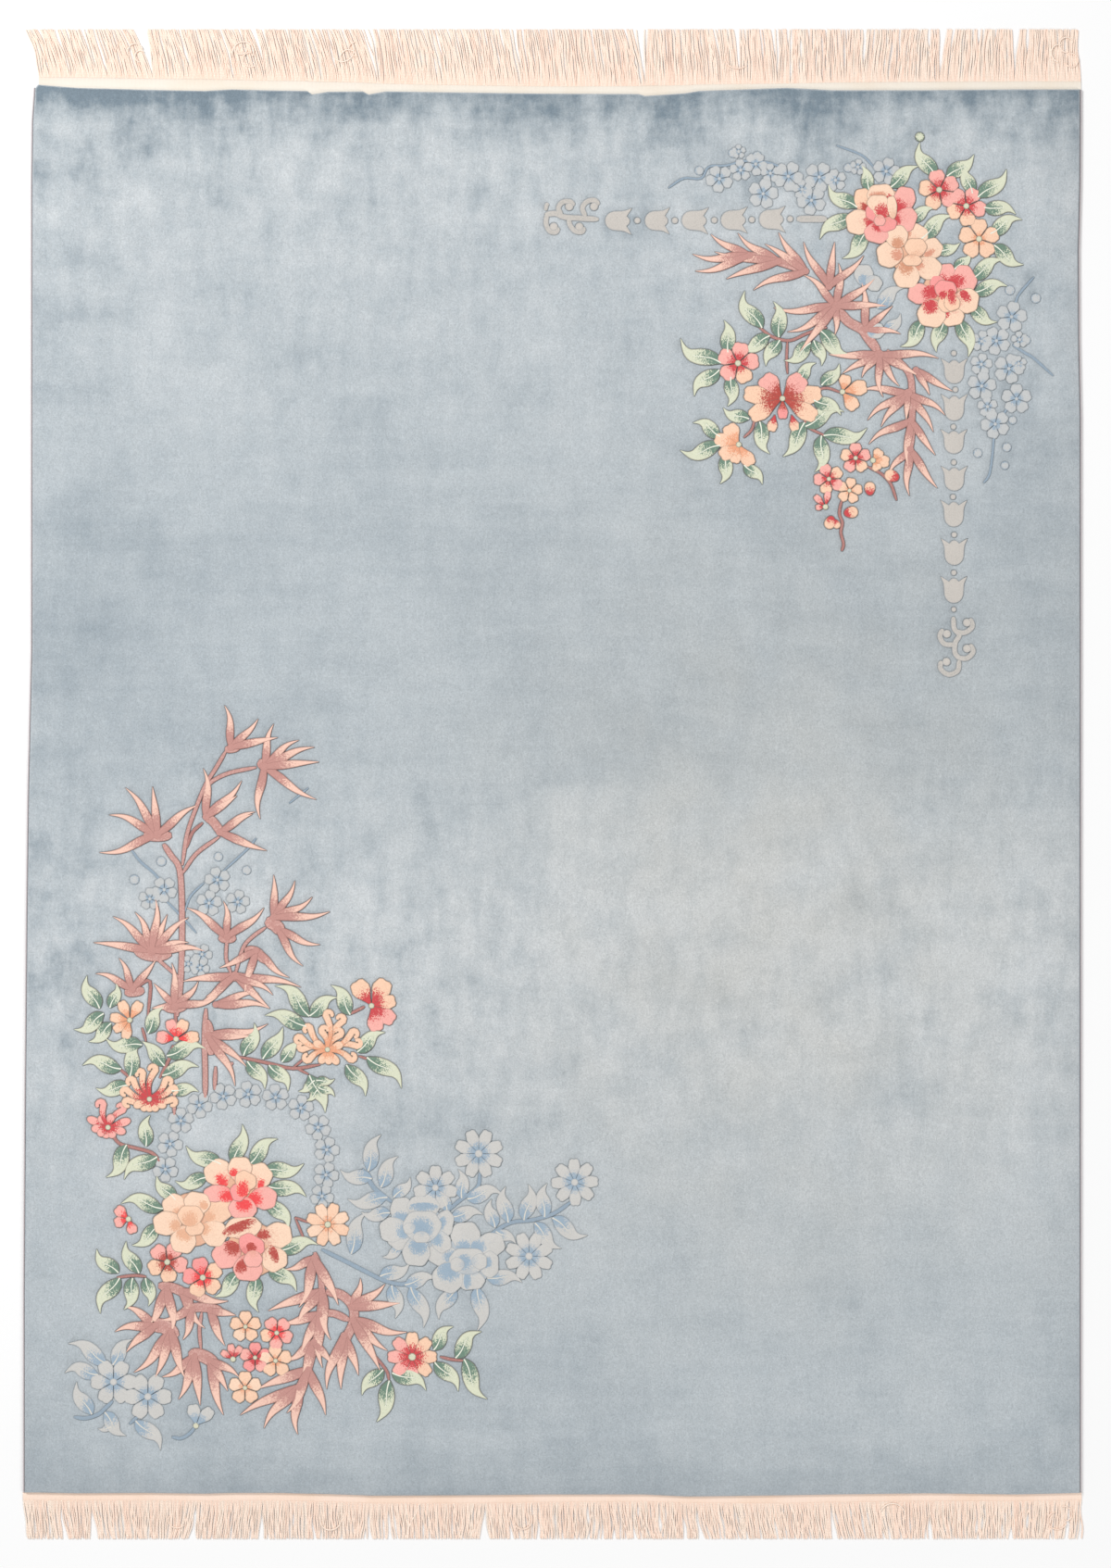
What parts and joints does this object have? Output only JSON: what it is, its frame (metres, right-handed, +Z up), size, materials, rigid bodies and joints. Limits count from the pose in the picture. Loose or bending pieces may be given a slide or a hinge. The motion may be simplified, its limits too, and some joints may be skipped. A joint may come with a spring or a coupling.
{
  "type": "fringed wool rug",
  "caption": "Rectangular carved wool-pile rug lying flat, with a raised floral and bamboo pattern, corded sides and fringed cotton ends.",
  "frame": {"origin": "on the floor, under the middle of the box that holds the whole rug with its fringes", "axes": "+Y along the rug towards the end with the longer fringe, +X across it, +Z up out of the pile"},
  "size_m": [2.74, 3.907, 0.017],
  "materials": {
    "pile_wool": "cut wool pile",
    "side_cord_wool": "overcast wool yarn",
    "fringe_cotton": "twisted cotton yarn"
  },
  "bodies": {
    "root": {"pile_field": "pile_wool", "side_cord_left": "side_cord_wool", "side_cord_right": "side_cord_wool", "fringe_top": "fringe_cotton", "fringe_bottom": "fringe_cotton"}
  },
  "joints": []
}
